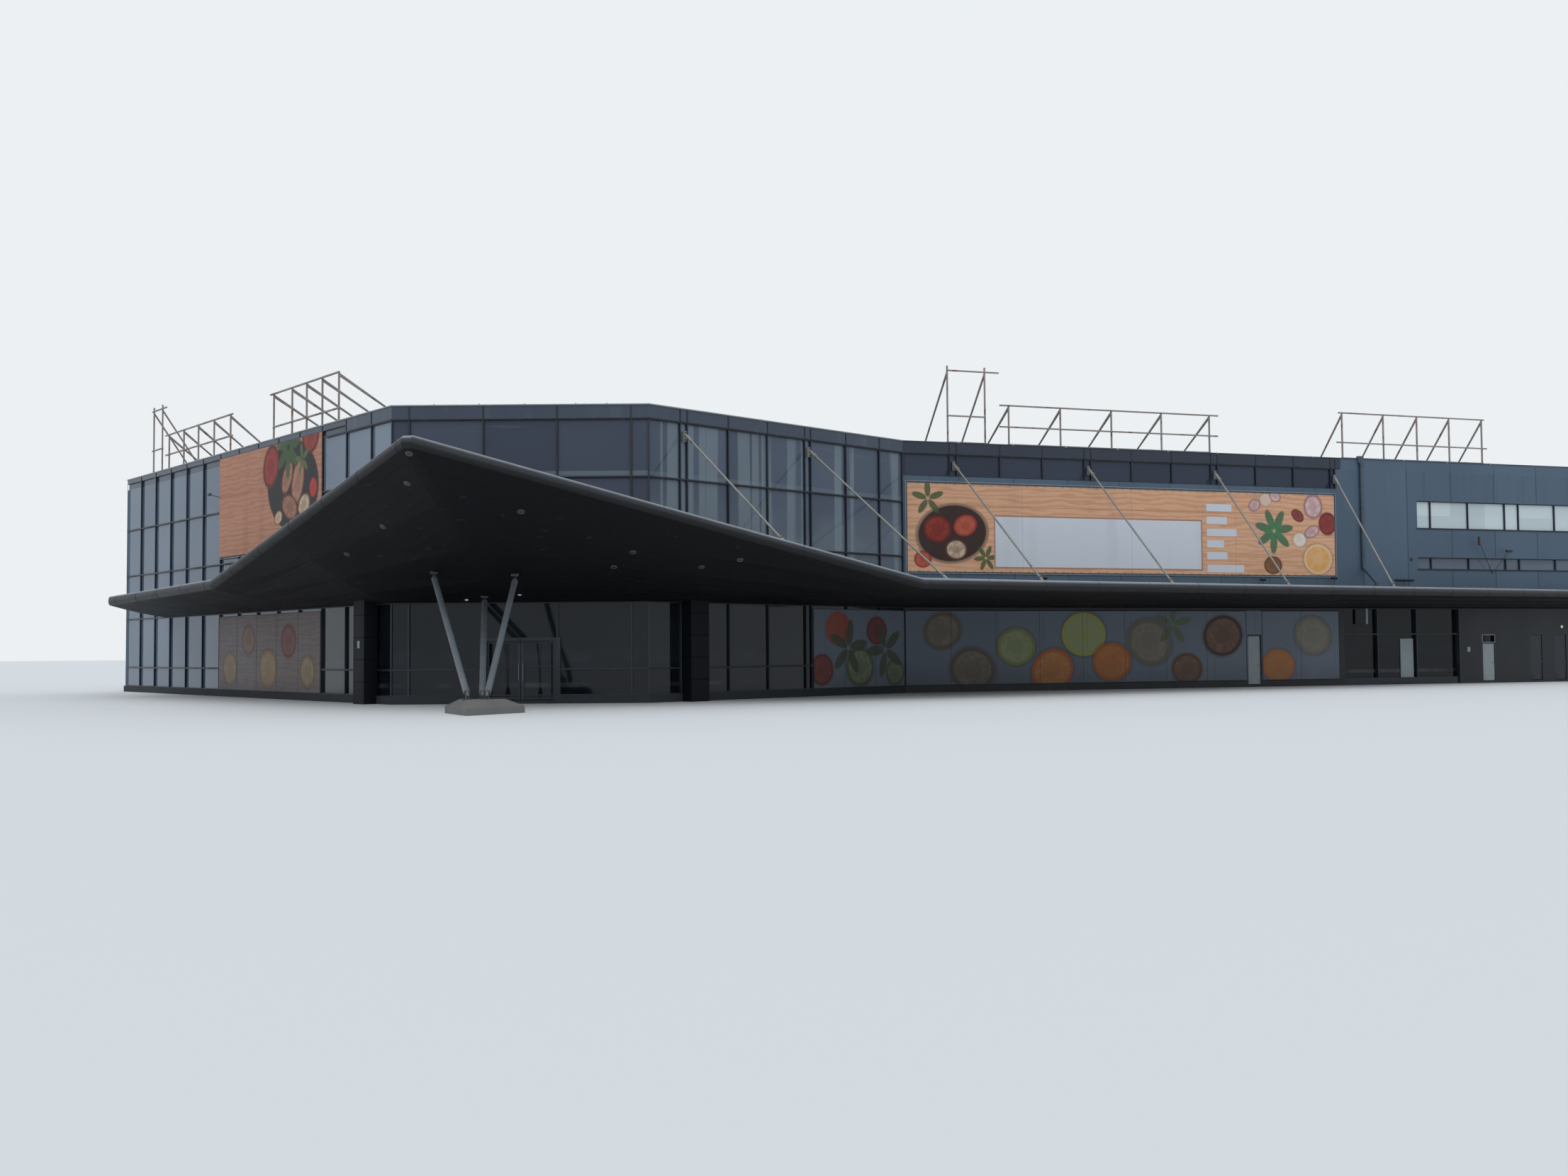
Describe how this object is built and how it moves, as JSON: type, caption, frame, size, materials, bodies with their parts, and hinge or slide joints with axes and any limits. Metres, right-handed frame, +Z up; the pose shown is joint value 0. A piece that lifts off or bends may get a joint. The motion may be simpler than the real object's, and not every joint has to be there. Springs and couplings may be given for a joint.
{
  "type": "shopping centre scale model",
  "caption": "One-tenth scale model of a glazed corner shopping centre with a pointed canopy on leaning columns, sliding entrance, service doors and roof sign frames.",
  "frame": {"origin": "on the ground in the middle of the area that the model covers", "axes": "+X along the long main wall, away from the entrance corner; +Y from the canopy to the back wall; +Z up"},
  "size_m": [8.5259, 4.3755, 1.615],
  "materials": {
    "band_metal": "weathered light grey",
    "bracket_steel": "rusty",
    "canopy_metal": "brushed, weathered",
    "column_paint": "off-white paint with rust",
    "concrete": "rough concrete",
    "dark_door": "dark paint",
    "dark_frame": "dark blue-black powder coat",
    "facade_glass": "dark reflective",
    "floor_concrete": "screeded floor",
    "left_facade_glass": "blue-grey reflective",
    "mural_print": "printed film",
    "orange_banner": "printed banner",
    "pier_cladding": "slate sheet",
    "plinth_stone": "dark stone",
    "sign_steel": "galvanised, rusty",
    "slate_cladding": "slate blue metal sheet",
    "soffit_board": "dark boards",
    "white_banner": "printed banner",
    "white_door": "white enamel"
  },
  "bodies": {
    "building": {"back_glass": "facade_glass", "back_wall": "slate_cladding", "canopy_left": "soffit_board", "canopy_nose_left": "canopy_metal", "canopy_nose_right": "canopy_metal", "canopy_right": "soffit_board", "column_brackets": "bracket_steel", "columns": "column_paint", "door_frames": "dark_door", "door_track": "dark_frame", "end_glass": "facade_glass", "end_wall": "slate_cladding", "entrance_piers": "pier_cladding", "entrance_portal": "dark_frame", "front_frame": "dark_frame", "front_glass": "facade_glass", "ground_lintel": "slate_cladding", "ground_slab": "floor_concrete", "ground_wall": "slate_cladding", "left_banner": "orange_banner", "left_frame": "dark_frame", "left_glass": "left_facade_glass", "main_banner": "white_banner", "main_wall": "slate_cladding", "metal_wall": "slate_cladding", "mural_panels": "mural_print", "parapet": "band_metal", "pedestal": "concrete", "plinth": "plinth_stone", "rain_pipe": "sign_steel", "ribbon_frame": "dark_frame", "ribbon_glass": "facade_glass", "right_frame": "dark_frame", "right_glass": "facade_glass", "roof_slab": "concrete", "shop_frame": "dark_frame", "shop_glass": "facade_glass", "shop_panel": "white_door", "sign_frames_left": "sign_steel", "sign_frames_right": "sign_steel", "strip_frame": "dark_frame", "strip_glass": "facade_glass", "tie_rods": "column_paint", "top_floor": "floor_concrete", "upper_floor": "floor_concrete"},
    "entrance_leaf_left": {"entrance_leaf_left": "dark_frame"},
    "entrance_leaf_right": {"entrance_leaf_right": "dark_frame"},
    "service_door_1": {"service_door_1": "white_door"},
    "service_door_2": {"service_door_2": "white_door"},
    "service_door_3": {"service_door_3": "dark_door"},
    "service_door_4": {"service_door_4": "dark_door"}
  },
  "joints": [
    {"name": "entrance_left_slide", "type": "slide", "parent": "building", "child": "entrance_leaf_left", "axis": [-0.95, 0.3123, 0], "range_m": [0, 0.125]},
    {"name": "entrance_right_slide", "type": "slide", "parent": "building", "child": "entrance_leaf_right", "axis": [0.95, -0.3123, 0], "range_m": [0, 0.125]},
    {"name": "service_door_1_hinge", "type": "hinge", "parent": "building", "child": "service_door_1", "pos_m": [1.44241, -0.52094, 0.112], "axis": [0, 0, -1], "range_deg": [0, 90]},
    {"name": "service_door_2_hinge", "type": "hinge", "parent": "building", "child": "service_door_2", "pos_m": [2.98041, -0.52094, 0.112], "axis": [0, 0, -1], "range_deg": [0, 90]},
    {"name": "service_door_3_hinge", "type": "hinge", "parent": "building", "child": "service_door_3", "pos_m": [3.31441, -0.52094, 0.112], "axis": [0, 0, -1], "range_deg": [0, 90]},
    {"name": "service_door_4_hinge", "type": "hinge", "parent": "building", "child": "service_door_4", "pos_m": [3.48741, -0.52094, 0.112], "axis": [0, 0, -1], "range_deg": [0, 90]}
  ],
  "couplings": [
    {"joint": "entrance_right_slide", "follows": "entrance_left_slide", "ratio": 1}
  ]
}
